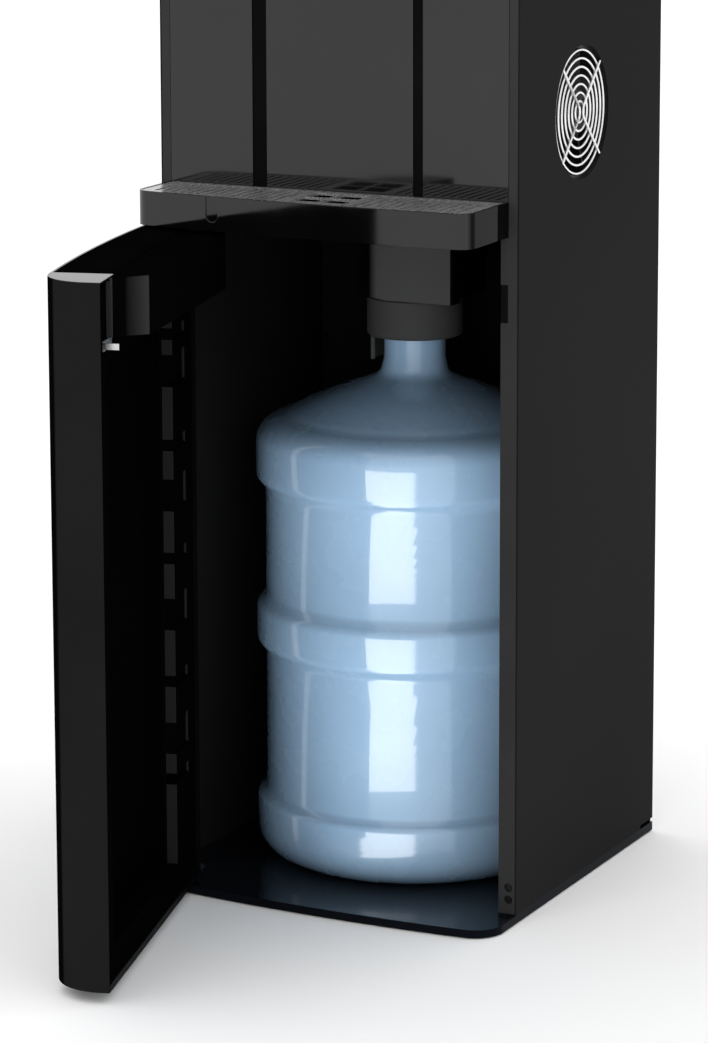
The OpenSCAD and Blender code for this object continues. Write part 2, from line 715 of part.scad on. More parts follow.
/* Bottle */
bottle_z = floor_z;
neck_top = 474;
foot_r = 108;
foot_round_h = 26;
low_band_z = 50;
low_ramp_h = 10.5;
ramp_h = 15.5;
mid_band_z = 176;
mid_band_h = 55;
top_band_z = 317;
shoulder_z = 360;
dome_h = 70;
bottle_h = neck_top - bottle_z;
foot_shares = [[0, 0.385], [0.648, 0.346], [0.815, 0.115], [0.889, 0]];
ramp_shares = [[0, 0], [0.15, 0.26], [0.62, 0.55], [0.925, 0.77], [1, 1]];
dome_shares = [
    [0.991, 0.086], [0.967, 0.164], [0.926, 0.229], [0.867, 0.279], [0.822, 0.3], [0.8, 0.329],
    [0.711, 0.414], [0.593, 0.521], [0.474, 0.614], [0.37, 0.686], [0.296, 0.736], [0.244, 0.779],
    [0.215, 0.836]];
function up_ramp(z, h) = [for (q = ramp_shares) [bottle_r + q[0] * (band_r - bottle_r), z + q[1] * h]];
function down_ramp(z, h) = [for (i = [len(ramp_shares) - 1:-1:0]) let (q = ramp_shares[i])
    [bottle_r + q[0] * (band_r - bottle_r), z + (1 - q[1]) * h]];
// Profile of the bottle in four parts, from the middle of its foot to its mouth
foot_line = concat([for (q = foot_shares) [q[0] * foot_r, q[1] * foot_round_h]], [[foot_r, 0]]);
corner_line = [for (a = [15:15:90]) [foot_r + (band_r - foot_r) * sin(a), foot_round_h * (1 - cos(a))]];
wall_line = concat(down_ramp(low_band_z, low_ramp_h), up_ramp(mid_band_z, ramp_h),
    down_ramp(mid_band_z + mid_band_h - ramp_h, ramp_h), up_ramp(top_band_z, ramp_h), [[band_r, shoulder_z]]);
dome_line = [for (q = dome_shares) [q[0] * band_r, shoulder_z + q[1] * dome_h]];
neck_line = [[neck_r, shoulder_z + dome_h], [neck_r, bottle_h]];
bottle_profile = concat(foot_line, corner_line, wall_line, dome_line, neck_line);
module bottle() color([0.5, 0.62, 0.75]) translate([0, 0, bottle_z]) difference() {
    rotate_extrude($fn = 128) polygon(concat(bottle_profile, [[0, bottle_h]]));
    // Hollow, with the wall left all round
    rotate_extrude($fn = 128) polygon(concat(
        [for (q = foot_line) [max(0, q[0] - bottle_wall), q[1] + bottle_wall]],
        [for (q = corner_line) [q[0] - bottle_wall, q[1] + bottle_wall * (1 - q[1] / foot_round_h)]],
        [for (q = wall_line) [q[0] - bottle_wall, q[1]]],
        [for (q = dome_line) [q[0] - bottle_wall, q[1] - bottle_wall]],
        [for (q = neck_line) [q[0] - bottle_wall, q[1] + (q[1] > shoulder_z + dome_h ? cut : 0)]],
        [[0, bottle_h + cut]]));
}

/* Fan */
guard_rings = 7;
guard_pitch = 7;
spoke_x = half_w - wire_r;
ring_x = spoke_x - 1.7 * wire_r;
spoke_end = fan_hole_r - 1.5;
spoke_near = 8;
fan_t = 25;
fan_wall = 3;
fan_bore_r = 52;
fan_x = half_w - sheet_t - seat - fan_t;
foot_sink = 7;

// Rings, and over them two wires bent to the middle, with feet pressed into the fan frame
module fan_guard() color([0.8, 0.8, 0.8]) translate([0, fan_y, fan_z]) {
    for (i = [0:guard_rings - 1]) translate([ring_x, 0, 0]) rotate([0, 90, 0])
        rotate_extrude($fn = 72) translate([guard_r - i * guard_pitch, 0]) circle(wire_r, $fn = 24);
    for (side = [0, 180]) translate([spoke_x, 0, 0]) rotate([side, 0, 0]) {
        translate([0, spoke_near * sqrt(2), 0]) rotate([0, 90, 0]) rotate([0, 0, 225])
            rotate_extrude(angle = 90, $fn = 72) translate([spoke_near, 0]) circle(wire_r, $fn = 24);
        for (a = [45, 135]) rotate([-a, 0, 0]) {
            translate([0, 0, spoke_near]) cylinder(r = wire_r, h = spoke_end - spoke_near, $fn = 24);
            translate([0, 0, spoke_end]) sphere(wire_r, $fn = 24);
            translate([fan_x + fan_t - foot_sink - spoke_x, 0, spoke_end]) rotate([0, 90, 0])
                cylinder(r = wire_r, h = spoke_x - fan_x - fan_t + foot_sink, $fn = 24);
        }
    }
}

shaft_r = 2;
hub_r = 20;
motor_r = 18;
blade_count = 7;
blade_tip_r = fan_bore_r - 2;
module fan_frame() color([0.05, 0.05, 0.05]) translate([fan_x, fan_y, fan_z]) {
    difference() {
        slab([0, fan_t], [-fan_size / 2, fan_size / 2], [-fan_size / 2, fan_size / 2]);
        translate([-cut, 0, 0]) rod_x(fan_bore_r, fan_t + 2 * cut);
        translate([fan_t - fan_wall, 0, 0]) rod_x(fan_hole_r, fan_wall + cut);
        for (a = [45:90:315]) rotate([a, 0, 0]) translate([fan_t - foot_sink - seat, 0, spoke_end])
            rod_x(wire_r + slip, foot_sink + seat + cut);
    }
    // Motor seat and its struts at the inner side
    difference() {
        union() {
            rod_x(motor_r, fan_wall);
            for (a = [0, 120, 240]) rotate([a, 0, 0])
                slab([0, fan_wall], [-fan_wall, fan_wall], [motor_r - fan_wall, fan_bore_r + fan_wall / 2]);
        }
        translate([-cut, 0, 0]) rod_x(shaft_r + slip, fan_wall + 2 * cut);
    }
}
module fan_rotor() color([0.04, 0.04, 0.04]) translate([fan_x, fan_y, fan_z]) {
    rod_x(shaft_r, fan_t - fan_wall);
    translate([fan_wall + seat * 3, 0, 0]) rod_x(hub_r, fan_t - fan_wall * 3);
    for (i = [0:blade_count - 1]) rotate([i * 360 / blade_count, 0, 0])
        translate([fan_t / 2, 0, hub_r - fan_wall]) rotate([0, 0, 38])
            slab([-fan_t * 0.42, fan_t * 0.42], [-fan_wall / 4, fan_wall / 4],
                [0, blade_tip_r - hub_r + fan_wall / 3]);
}

/* Cooling */
sink_base = 6;
sink_l = 52;
sink_h = 100;
sink_w = 100;
fin_count = 15;
fin_t = 1.4;
peltier_w = 40;
peltier_t = 4;
peltier_x = fan_x - seat - sink_l - peltier_t;
block_t = 12;
module heat_sink() color([0.75, 0.75, 0.77]) translate([peltier_x + peltier_t, fan_y, fan_z]) {
    slab([0, sink_base], [-sink_w / 2, sink_w / 2], [-sink_h / 2, sink_h / 2]);
    for (i = [0:fin_count - 1]) let (y = -sink_w / 2 + i * (sink_w - fin_t) / (fin_count - 1))
        slab([sink_base - seat, sink_l], [y, y + fin_t], [-sink_h / 2, sink_h / 2]);
}
module peltier_module() color([0.9, 0.9, 0.88])
    slab([peltier_x, peltier_x + peltier_t], [fan_y - peltier_w / 2, fan_y + peltier_w / 2],
        [fan_z - peltier_w / 2, fan_z + peltier_w / 2]);
cold_tank_x = peltier_x - block_t - cold_tank_w;
cold_tank_l = 100;
tank_lift = 36.9;
cold_tank_z = tray_z + ceiling_t + tank_lift;
foam_t = 12;
steel_t = 1.2;
module cold_tank() color([0.7, 0.72, 0.74]) difference() {
    union() {
        slab([cold_tank_x, cold_tank_x + cold_tank_w], [fan_y - cold_tank_l / 2, fan_y + cold_tank_l / 2],
            [cold_tank_z, cold_tank_z + cold_tank_h]);
        slab([cold_tank_x + cold_tank_w - seat, peltier_x], [fan_y - peltier_w / 2, fan_y + peltier_w / 2],
            [fan_z - peltier_w / 2, fan_z + peltier_w / 2]);
    }
    slab([cold_tank_x + steel_t, cold_tank_x + cold_tank_w - steel_t],
        [fan_y - cold_tank_l / 2 + steel_t, fan_y + cold_tank_l / 2 - steel_t],
        [cold_tank_z + steel_t, cold_tank_z + cold_tank_h - steel_t]);
}
foam_x = cold_tank_x - foam_t;
module tank_insulation() color([0.9, 0.9, 0.88]) difference() {
    slab([foam_x, cold_tank_x + cold_tank_w + block_t - seat],
        [fan_y - cold_tank_l / 2 - foam_t, fan_y + cold_tank_l / 2 + foam_t],
        [ceiling_z + ceiling_t, cold_tank_z + cold_tank_h + foam_t]);
    slab([cold_tank_x - seat, cold_tank_x + cold_tank_w + seat],
        [fan_y - cold_tank_l / 2 - seat, fan_y + cold_tank_l / 2 + seat],
        [cold_tank_z, cold_tank_z + cold_tank_h + seat]);
    slab([cold_tank_x + cold_tank_w - cut, peltier_x + cut],
        [fan_y - peltier_w / 2 - seat, fan_y + peltier_w / 2 + seat],
        [fan_z - peltier_w / 2 - seat, fan_z + peltier_w / 2 + seat]);
    for (p = [cold_port, fill_port]) translate([p[0], p[1], cold_tank_z + cold_tank_h])
        cylinder(r = hose_r + seat, h = foam_t + cut);
    // Way for the hose from the bottle, and for the hose to the hot tank
    slab([-channel_w / 2, channel_w / 2], [-channel_w / 2, fan_y + cold_tank_l / 2 + foam_t + cut],
        [ceiling_z, cold_tank_z - foam_t]);
    translate([warm_port[0], fan_y + cold_tank_l / 2, warm_port[1]]) rod_y(hose_r + seat, foam_t + cut);
}
channel_w = 16;
port_in = 20;
cold_port = [cold_tank_x + port_in, fan_y + port_in];
fill_port = [cold_tank_x + cold_tank_w / 2, fan_y + port_in];
warm_port = [cold_tank_x + port_in / 2, cold_tank_z + port_in];

/* Heating */
hot_tank_x = -96;
hot_tank_y = 86;
hot_tank_z = 700;
hot_leg = 6;
hot_wall = 1.2;
heater_t = 3;
heater_h = 44;
module hot_tank() color([0.72, 0.72, 0.72]) translate([hot_tank_x, hot_tank_y, 0]) difference() {
    union() {
        translate([0, 0, hot_tank_z]) cylinder(r = hot_tank_r, h = hot_tank_h);
        // Foot strap down to the shelf
        slab([-hot_leg, hot_leg], [-hot_tank_r / 2, hot_tank_r / 2],
            [ceiling_z + ceiling_t, hot_tank_z + hot_wall]);
    }
    translate([0, 0, hot_tank_z + hot_wall]) cylinder(r = hot_tank_r - hot_wall, h = hot_tank_h - 2 * hot_wall);
    slab([-hot_leg - cut, hot_leg + cut], [-hot_tank_r / 2 + hot_wall * 3, hot_tank_r / 2 - hot_wall * 3],
        [ceiling_z + ceiling_t + hot_wall, hot_tank_z - hot_wall]);
}
module hot_tank_heater() color([0.55, 0.5, 0.42]) translate([hot_tank_x, hot_tank_y, hot_tank_z + heater_h / 2])
    difference() {
        union() {
            cylinder(r = hot_tank_r + seat + heater_t, h = heater_h);
            slab([hot_tank_r, hot_tank_r + heater_t * 3], [-heater_t, heater_t], [0, heater_h]);
        }
        translate([0, 0, -cut]) cylinder(r = hot_tank_r + seat, h = heater_h + 2 * cut);
    }

/* Pump, electrics and hoses */
pump_x = 96;
pump_y = 78;
pump_r = 19;
pump_h = 46;
port_r = 5;
port_l = 10;
port_gap = 18;
shelf_z = ceiling_z + ceiling_t;
module water_pump() color([0.15, 0.15, 0.17]) translate([pump_x, pump_y, shelf_z]) {
    slab([-pump_r, pump_r], [-pump_r, pump_r], [0, port_r * 0.7]);
    cylinder(r = pump_r * 0.9, h = pump_h);
    translate([-pump_r - port_r, 0, port_l]) rod_x(port_r, pump_r);
    for (s = [-1, 1]) translate([s * port_gap / 2, 0, pump_h - cut]) cylinder(r = port_r, h = port_l + cut);
}
rise = 18;
board_t = 1.6;
board_w = 150;
board_h = 66;
board_z = head_z + 3 * rise;
board_y = front - 8;
lug_h = 12;
chip_w = 14;
chip_t = 5;
module control_board() color([0.05, 0.25, 0.12]) {
    slab([-board_w / 2, board_w / 2], [board_y, board_y + board_t], [board_z, board_z + board_h]);
    for (i = [-2:2]) translate([i * board_w / 6, board_y + board_t, board_z + board_h / 2])
        slab([-chip_w / 2, chip_w / 2], [0, chip_t], [-chip_w, chip_w]);
    // Lugs that reach the shell's side walls
    for (s = [0, 1]) mirror([s, 0, 0]) slab([board_w / 2, panel_half - head_wall],
        [board_y, board_y + board_t], [board_z + lug_h, board_z + 2 * lug_h]);
}
supply_x = [44, 132];
supply_d = 46;
supply_slot = 4;
supply_z = [640, 740];
module power_supply() color([0.7, 0.7, 0.7]) difference() {
    slab(supply_x, [rear_y - sheet_t - supply_d, rear_y - sheet_t], supply_z);
    for (i = [1:8]) translate([supply_x[0] + i * (supply_x[1] - supply_x[0]) / 9, 0, supply_z[1]])
        slab([-supply_slot / 2, supply_slot / 2],
            [rear_y - sheet_t - supply_d * 0.8, rear_y - sheet_t - supply_d * 0.2], [-cut, cut]);
}

drain_l = 14;
drain_cap_l = 6;

// Routes of the hoses, each from the start of the water's way to its end
pump_top = shelf_z + pump_h + port_l;
fill_x = pump_x - port_gap / 2;
room_x = pump_x + port_gap / 2;
spout_in = head_z + head_wall + barb_l;
tank_top = cold_tank_z + cold_tank_h;
hot_top = hot_tank_z + hot_tank_h;
warm_x = hot_tank_x + 20;
warm_y = hot_tank_y - 12;
drain_hose_x = hot_tank_x - 16;
// Height at which hoses pass over the cold tank, and where they pass the shell's front
over_tank = tank_top + 2.2 * rise;
warm_out = rise + 3;
feed_route = [
    [0, 0, tube_top + seat], [0, 0, 570], [0, 6, 582], [0, 44, 582], [16, 66, 581],
    [50, pump_y, shelf_z + port_l], [pump_x - pump_r - port_r, pump_y, shelf_z + port_l]];
fill_route = [
    [fill_x, pump_y, pump_top], [fill_x, pump_y, 660], [60, 62, 705], [24, 56, tank_top + rise],
    [fill_port[0], fill_port[1] + rise, over_tank], [fill_port[0], fill_port[1], tank_top + 2 * rise],
    [fill_port[0], fill_port[1], tank_top]];
room_route = [
    [room_x, pump_y, pump_top], [room_x, pump_y, 690], [100, 70, 770],
    [60, 20, max(over_tank + rise, spout_in - 1.8 * rise)],
    [10, -60, max(over_tank + rise, spout_in - 0.6 * rise)],
    [spout_x(1), -130, max(over_tank, spout_in + 0.6 * rise)], [spout_x(1), spout_y, spout_in + rise],
    [spout_x(1), spout_y, spout_in]];
warm_route = [
    [warm_port[0], fan_y + cold_tank_l / 2, warm_port[1]],
    [warm_port[0], fan_y + cold_tank_l / 2 + warm_out, warm_port[1]],
    [-50, 62, 640], [-74, 68, 664], [warm_x, warm_y, hot_tank_z - rise], [warm_x, warm_y, hot_tank_z]];
cold_route = [
    [cold_port[0], cold_port[1], tank_top], [cold_port[0], cold_port[1], tank_top + 2 * rise],
    [-10, -20, max(over_tank, spout_in - 3.5 * rise)], [40, -60, max(over_tank, spout_in - 2.2 * rise)],
    [62, -110, max(over_tank, spout_in)], [spout_x(2), spout_y, spout_in + rise],
    [spout_x(2), spout_y, spout_in]];
hot_route = [
    [hot_tank_x, hot_tank_y, hot_top], [hot_tank_x, hot_tank_y, hot_top + rise],
    [hot_tank_x, 30, max(over_tank + 2 * rise, spout_in - 0.2 * rise)],
    [-85, -60, max(over_tank + rise, spout_in + 0.3 * rise)],
    [-70, -120, max(over_tank, spout_in + 0.8 * rise)], [spout_x(0), spout_y, spout_in + rise],
    [spout_x(0), spout_y, spout_in]];
drain_route = [
    [drain_hose_x, hot_tank_y, hot_tank_z], [drain_hose_x, hot_tank_y, hot_tank_z - rise], [-102, 126, 652],
    [0, 122, 616], [drain_x - rise, 116, drain_z], [drain_x, 118, drain_z],
    [drain_x, rear_y - drain_l, drain_z]];
module water_hoses() color([0.85, 0.85, 0.85])
    for (route = [feed_route, fill_route, room_route, warm_route, cold_route, hot_route, drain_route])
        tube(chaikin(chaikin(route)), hose_r);

/* Back fittings */
inlet_d = 24;
inlet_rim = 4;
inlet_wall = 3;
inlet_back = 6;
pin_w = 2;
pin_rows = [[-6, -2], [0, 3], [6, -2]];
module power_inlet() color([0.03, 0.03, 0.03]) translate([inlet_x, 0, inlet_z]) {
    difference() {
        union() {
            slab([-inlet_w / 2, inlet_w / 2], [rear_y - inlet_d, rear_y], [-inlet_h / 2, inlet_h / 2]);
            slab([-inlet_w / 2 - inlet_rim, inlet_w / 2 + inlet_rim], [rear_y, rear_y + 2 * sheet_t],
                [-inlet_h / 2 - inlet_rim, inlet_h / 2 + inlet_rim]);
        }
        slab([-inlet_w / 2 + inlet_wall, inlet_w / 2 - inlet_wall],
            [rear_y - inlet_d + inlet_back, rear_y + 2 * sheet_t + cut],
            [-inlet_h / 2 + inlet_wall, inlet_h / 2 - inlet_wall]);
    }
    for (p = pin_rows) translate([p[0], 0, p[1]])
        slab([-pin_w / 2, pin_w / 2], [rear_y - inlet_d + inlet_back - cut, rear_y - inlet_wall],
            [-pin_w, pin_w]);
}

// Housing with a rim, and in it a rocker on two pins
rocker_in = 2;
rocker_d = 8;
rocker_out = 3.4;
rocker_end = 2.6;
rocker_edge = 1.4;
rocker_pin_r = 1.5;
housing_d = 14;
housing_rim = 2;
rocker_y = rear_y - rocker_in;
module switch_housings() color([0.03, 0.03, 0.03])
    for (i = [-1, 1]) translate([switch_x + i * switch_gap / 2, 0, switch_z]) difference() {
        union() {
            slab([-housing_w / 2, housing_w / 2], [rear_y - housing_d, rear_y],
                [-housing_h / 2, housing_h / 2]);
            slab([-housing_w / 2 - housing_rim, housing_w / 2 + housing_rim], [rear_y, rear_y + sheet_t],
                [-housing_h / 2 - housing_rim, housing_h / 2 + housing_rim]);
        }
        slab([-rocker_w / 2, rocker_w / 2], [rear_y - housing_d + housing_wall, rear_y + sheet_t + cut],
            [-rocker_h / 2, rocker_h / 2]);
        translate([-housing_w / 2 - cut, rocker_y, 0]) rod_x(rocker_pin_r + slip, housing_w + 2 * cut);
    }
module rocker(i) translate([switch_x + i * switch_gap / 2, rocker_y, switch_z]) {
    rotate([90, 0, 90]) translate([0, 0, -rocker_w / 2 + seat]) linear_extrude(rocker_w - 2 * seat)
        polygon([[-rocker_d / 2, -rocker_h / 5], [rocker_end, -rocker_h / 2 + rocker_edge],
            [rocker_out, 0], [rocker_end, rocker_h / 2 - rocker_edge], [-rocker_d / 2, rocker_h / 5]]);
    translate([-housing_w / 2 + seat, 0, 0]) rod_x(rocker_pin_r, housing_w - 2 * seat);
}
module hot_switch() color([0.5, 0.05, 0.05]) rocker(-1);
module cold_switch() color([0.05, 0.3, 0.1]) rocker(1);

module drain_plug() color([0.6, 0.6, 0.6]) translate([drain_x, 0, drain_z]) {
    translate([0, rear_y - drain_l, 0]) rod_y(drain_r, drain_l + drain_cap_l / 2);
    translate([0, rear_y + seat, 0]) rod_y(drain_r * 1.5, drain_cap_l);
}

/* Door, drawn closed and then swung open about its hinge */
hinge = [-half_w + hinge_in, front_y(-half_w + hinge_in, front_reach, door_bow) + hinge_deep];
hinge_plate_t = 2;
hinge_eye_r = hinge_pin_r + 2.4;
hinge_plate_w = 22;
hinge_plate_in = 2.5;
hinge_plate_x = [-half_w + hinge_plate_in, -half_w + hinge_plate_in + hinge_plate_w];
hinge_plate_back = front + 18;
upper_plate_z = door_z + door_h + 0.6;
lower_plate_z = floor_z;
pin_l = 12;
hinge_neck_l = 12;

door_x = [-half_w + door_side_gap, half_w - door_side_gap];
door_back = front - door_gap;
door_top = door_z + door_h;
door_chamfer = 5;

module as_open() translate([hinge[0], hinge[1], 0]) rotate([0, 0, -door_open])
    translate([-hinge[0], -hinge[1], 0]) children();

module door_outline(inset, back = 0) difference() {
    polygon(bowed([door_x[0] + inset, door_x[1] - inset], door_back - back, front_reach - inset, door_bow,
        door_hinge_r - inset, door_corner_r - inset));
    // Corner that swings past the pillar
    translate([door_x[0], door_back]) rotate(45)
        square(2 * (door_chamfer + inset) / sqrt(2), center = true);
}

// Hollow of the shell, open to the back
module door_hollow() difference() {
    polygon(bowed([door_x[0] + door_wall, door_x[1] - door_wall], door_back + cut, front_reach - door_wall,
        door_bow, door_hinge_r - door_wall, door_corner_r - door_wall));
    translate([door_x[0], door_back]) rotate(45)
        square(2 * (door_chamfer + door_wall) / sqrt(2), center = true);
}
// The shell closes the door's top itself at the free end
land_l = 43;
land_x = door_x[1] - land_l;
module door_shell() color([0.02, 0.02, 0.02]) as_open() difference() {
    translate([0, 0, door_z]) linear_extrude(door_h) door_outline(0);
    translate([0, 0, door_z - cut]) linear_extrude(door_h - door_wall + cut) door_hollow();
    translate([0, 0, door_top - door_wall - cut]) linear_extrude(door_wall + 2 * cut) intersection() {
        door_hollow();
        translate([door_x[0], -front_reach]) square([land_x - door_x[0], front_reach]);
    }
}

door_cap_t = 6;
bush_r = 5;
bush_wall_r = 8;
boss_h = 14;
cap_inset = door_wall + seat;
module door_cap() difference() {
    union() {
        linear_extrude(door_cap_t) door_outline(cap_inset, cap_inset - door_wall);
        translate([hinge[0], hinge[1], 0]) cylinder(r = bush_wall_r - 1, h = boss_h);
    }
    translate([hinge[0], hinge[1], -cut]) cylinder(r = bush_r, h = boss_h + 2 * cut);
}
module door_bottom_cap() color([0.03, 0.03, 0.03]) as_open() translate([0, 0, door_z]) door_cap();
module door_top_cap() color([0.03, 0.03, 0.03]) as_open() difference() {
    translate([0, 0, door_top]) mirror([0, 0, 1]) door_cap();
    slab([land_x - seat, door_x[1]], [-front_reach, door_back + cut], [door_top - boss_h, door_top + cut]);
    slab([door_rail_x[0] - seat, door_rail_x[1] + seat], [liner_y, door_back + cut],
        [door_top - boss_h, door_top + cut]);
}

bush_flange_h = 0.6;
module bush() difference() {
    cylinder(r = bush_r, h = boss_h);
    translate([0, 0, -cut]) cylinder(r = hinge_pin_r + slip, h = boss_h + 2 * cut);
}
module hinge_bushes() color([0.8, 0.8, 0.78]) as_open() translate([hinge[0], hinge[1], 0]) {
    translate([0, 0, door_z]) bush();
    translate([0, 0, door_top]) mirror([0, 0, 1]) bush();
}

module hinge_plate() {
    slab(hinge_plate_x, [front - hinge_neck_l, hinge_plate_back], [0, hinge_plate_t]);
    slab([hinge[0] - hinge_eye_r, hinge[0] + hinge_eye_r], [hinge[1], front], [0, hinge_plate_t]);
    translate([hinge[0], hinge[1], 0]) cylinder(r = hinge_eye_r, h = hinge_plate_t);
}
module hinge_plates() color([0.6, 0.6, 0.62]) {
    translate([0, 0, upper_plate_z]) hinge_plate();
    translate([hinge[0], hinge[1], upper_plate_z - pin_l])
        cylinder(r = hinge_pin_r, h = pin_l + hinge_plate_t / 2);
    translate([0, 0, lower_plate_z]) hinge_plate();
    translate([hinge[0], hinge[1], lower_plate_z + hinge_plate_t / 2])
        cylinder(r = hinge_pin_r, h = pin_l + hinge_plate_t / 2);
}

// Liner with a recessed field in two steps, and slots for shelf hooks across the field's edge
liner_t = 2.5;
liner_inset = 3;
liner_y = door_back - liner_inset;
liner_x = [door_x[0] + door_wall + door_chamfer, door_x[1] - door_wall - seat];
liner_z = [door_z + door_cap_t + seat, door_top - door_cap_t - seat];
field_in = [66.5, 23.2];
field_x = [liner_x[0] + field_in[0], liner_x[1] - field_in[1]];
field_step = 9;
field_z = [40, 498];
slot_shares = [0.194, 0.343, 0.529, 0.698, 0.863];
pocket_shares = [0.241, 0.429, 0.608, 0.793];
slot_low_z = [for (q = slot_shares) q * door_h];
pocket_low_z = [for (q = pocket_shares) q * door_h];
hook_slot_h = 9;
pocket_h = 26;
pocket_l = 42;
field_bench = 4;
hook_x = [field_x[0] - pocket_l, field_x[0] + field_bench];
module door_liner() color([0.03, 0.03, 0.03]) as_open() difference() {
    union() {
        slab(liner_x, [liner_y - liner_t, liner_y], liner_z);
        slab([field_x[0] - liner_t, field_x[1] + liner_t], [liner_y - field_d - liner_t, liner_y],
            [field_z[0] - liner_t, field_z[1] + liner_t]);
    }
    slab(field_x, [liner_y - field_step, liner_y + cut], field_z);
    slab([field_x[0] + field_bench, field_x[1] - field_bench], [liner_y - field_d, liner_y + cut],
        [field_z[0] + field_bench, field_z[1] - field_bench]);
    for (z = slot_low_z) slab(hook_x, [liner_y - field_step, liner_y + cut], [z, z + hook_slot_h]);
    for (z = pocket_low_z) slab(hook_x, [liner_y - field_step, liner_y + cut], [z, z + pocket_h]);
}

// Rail across the top of the liner, slanted at its free end
rail_in = [38.5, 24];
door_rail_x = [liner_x[0] + rail_in[0], liner_x[1] - rail_in[1]];
rail_chamfer = [9, 10];
rail_end_d = 10.4;
rail_round = 8;
rail_back = liner_y + rail_d + liner_inset;
rail_swell = 7;
rail_z = door_top - rail_h - seat;
module rail_body() translate([0, 0, rail_z])
    linear_extrude(rail_h) polygon(concat(
        [[door_rail_x[0], liner_y + seat], [door_rail_x[1], liner_y + seat],
         [door_rail_x[1], door_back + 2 * cut],
         [door_rail_x[1] - rail_chamfer[0], door_back + 2 * cut + rail_end_d],
         [door_rail_x[1] - rail_chamfer[0] - rail_chamfer[1], rail_back - liner_inset]],
        arc([door_rail_x[0] + rail_round, rail_back + rail_swell - rail_round], rail_round, [90, 180], 5)));
module door_rail() color([0.04, 0.04, 0.04]) as_open() difference() {
    rail_body();
    // Room for the land of the shell
    slab([land_x - seat, door_rail_x[1] + cut], [liner_y, door_back + seat],
        [door_top - door_wall - seat, door_top]);
}

catch_t = 1.5;
catch_in = 16;
catch_w = 24;
catch_x = [door_x[1] - catch_in - catch_w, door_x[1] - catch_in];
catch_h = 8;
catch_hook = 10;
catch_gap = 0.8;
catch_z = rail_z - catch_gap - catch_h;
module door_catch() color([0.7, 0.7, 0.7]) as_open() {
    slab(catch_x, [liner_y, liner_y + catch_t], [catch_z, catch_z + catch_h]);
    slab([catch_x[1] - catch_t, catch_x[1]], [liner_y, liner_y + liner_inset + catch_hook],
        [catch_z + catch_t, catch_z + catch_h - catch_t]);
}

base_tray();
base_glides();
left_side_panel();
right_side_panel();
rear_panel();
left_pillar();
right_pillar();
front_beam();
bay_ceiling();
case_screws();
dispensing_panel();
head_shell();
control_deck();
top_cover();
door_magnet();
hot_button();
room_button();
cold_button();
hot_spring();
room_spring();
cold_spring();
child_lock();
indicator_lenses();
hot_spout();
room_spout();
cold_spout();
tray_bracket();
drip_tray();
tray_grille();
dock_body();
dock_cover();
probe_cap();
suction_tube();
bottle();
fan_guard();
fan_frame();
fan_rotor();
heat_sink();
peltier_module();
cold_tank();
tank_insulation();
hot_tank();
hot_tank_heater();
water_pump();
control_board();
power_supply();
water_hoses();
power_inlet();
switch_housings();
hot_switch();
cold_switch();
drain_plug();
door_shell();
door_liner();
door_top_cap();
door_bottom_cap();
door_rail();
door_catch();
hinge_plates();
hinge_bushes();
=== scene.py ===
import json
import math

import bmesh
import bpy
from mathutils import Matrix, Vector


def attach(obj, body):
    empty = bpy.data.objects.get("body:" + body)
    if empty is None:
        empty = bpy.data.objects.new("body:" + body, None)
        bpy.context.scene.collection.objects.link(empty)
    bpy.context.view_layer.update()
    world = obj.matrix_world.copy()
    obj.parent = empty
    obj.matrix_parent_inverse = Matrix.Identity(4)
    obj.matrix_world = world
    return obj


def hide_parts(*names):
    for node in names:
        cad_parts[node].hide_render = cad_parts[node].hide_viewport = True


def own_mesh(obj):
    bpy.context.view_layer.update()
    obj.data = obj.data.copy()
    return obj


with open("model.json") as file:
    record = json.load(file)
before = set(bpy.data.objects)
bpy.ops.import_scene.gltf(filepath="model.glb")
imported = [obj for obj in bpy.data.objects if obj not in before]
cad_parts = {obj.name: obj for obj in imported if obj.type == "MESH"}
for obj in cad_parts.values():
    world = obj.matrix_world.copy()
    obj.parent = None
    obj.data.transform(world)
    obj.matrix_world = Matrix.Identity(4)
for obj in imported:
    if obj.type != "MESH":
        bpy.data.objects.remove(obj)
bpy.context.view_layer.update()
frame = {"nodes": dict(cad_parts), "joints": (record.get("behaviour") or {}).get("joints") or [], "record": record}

MM = 0.001
UP = (0.0, 0.0, 1.0)
RIGHT = (1.0, 0.0, 0.0)
FRONT = (0.0, -1.0, 0.0)

# Camera, placed by a fit to edges and rings in the photo
AZIMUTH = math.radians(25.1996)
PITCH = math.radians(10.7601)
DISTANCE = 3.57712
AIM = Vector((0.0, 0.0, 0.40415))
FOCAL_PX = 4231.83
CENTRE_PX = (415.105, 392.462)
PHOTO_W, PHOTO_H = 708, 1043
SENSOR_MM = 36.0
CLIP_NEAR, CLIP_FAR = 0.1, 50.0


def photo_camera():
    """A camera that sees the object as the photo does."""
    level = Vector((-math.sin(AZIMUTH), math.cos(AZIMUTH), 0.0))
    forward = math.cos(PITCH) * level - math.sin(PITCH) * Vector(UP)
    right = Vector((math.cos(AZIMUTH), math.sin(AZIMUTH), 0.0))
    up = right.cross(forward)
    cam = bpy.data.cameras.new("photo_camera")
    cam_obj = bpy.data.objects.new("photo_camera", cam)
    bpy.context.scene.collection.objects.link(cam_obj)
    turn = Matrix((right, up, -forward)).transposed()
    cam_obj.matrix_world = Matrix.Translation(AIM - forward * DISTANCE) @ turn.to_4x4()
    cam.sensor_width = SENSOR_MM
    cam.sensor_fit = "AUTO"
    cam.lens = FOCAL_PX * SENSOR_MM / PHOTO_H
    cam.shift_x = (PHOTO_W / 2 - CENTRE_PX[0]) / PHOTO_H
    cam.shift_y = (CENTRE_PX[1] - PHOTO_H / 2) / PHOTO_H
    cam.clip_start = CLIP_NEAR
    cam.clip_end = CLIP_FAR
    return cam_obj


